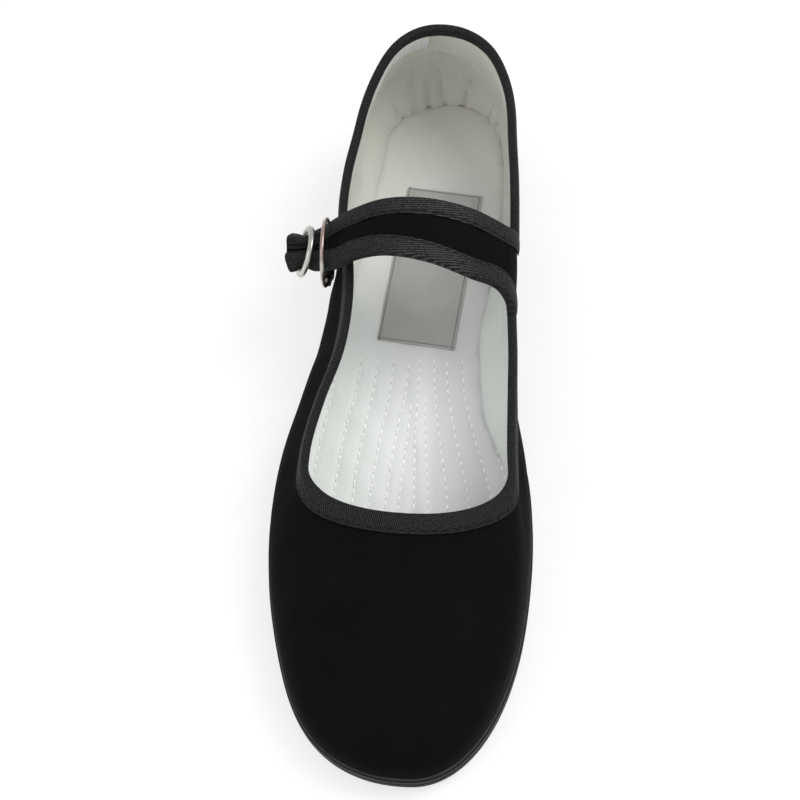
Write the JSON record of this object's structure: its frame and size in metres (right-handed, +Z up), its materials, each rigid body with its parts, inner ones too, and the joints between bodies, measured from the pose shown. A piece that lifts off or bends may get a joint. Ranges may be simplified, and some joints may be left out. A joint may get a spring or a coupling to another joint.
{
  "type": "chinese cloth shoe",
  "caption": "Low black velvet cloth shoe for the right foot with a round open throat, bound edges, a strap over the instep held by two metal rings, quilted white insole and thin rubber sole.",
  "frame": {"origin": "on the floor, under the middle of the box round the shoe", "axes": "+Z up, -Y to the toe, +X to the big toe's side (medial)"},
  "size_m": [0.0858, 0.25, 0.0635],
  "materials": {
    "black_velvet": "short cotton velvet pile, near black, soft bright edges where the pile leans",
    "black_rubber": "moulded matt rubber with a fine line round its side",
    "white_cotton": "plain white cotton, stitched in dotted rows on the insole",
    "black_grosgrain": "ribbed woven tape, folded over the edge and stitched",
    "nickel": "bright nickel plate, lightly handled",
    "grey_satin": "plain grey satin patch, bare"
  },
  "bodies": {
    "root": {"outsole": "black_rubber", "upper": "black_velvet", "insole": "white_cotton", "insole_label": "grey_satin", "collar_binding": "black_grosgrain", "strap": "black_velvet", "strap_binding_front": "black_grosgrain", "strap_binding_rear": "black_grosgrain", "ring_inner": "nickel", "ring_outer": "nickel", "ring_tab": "black_grosgrain"}
  },
  "joints": []
}
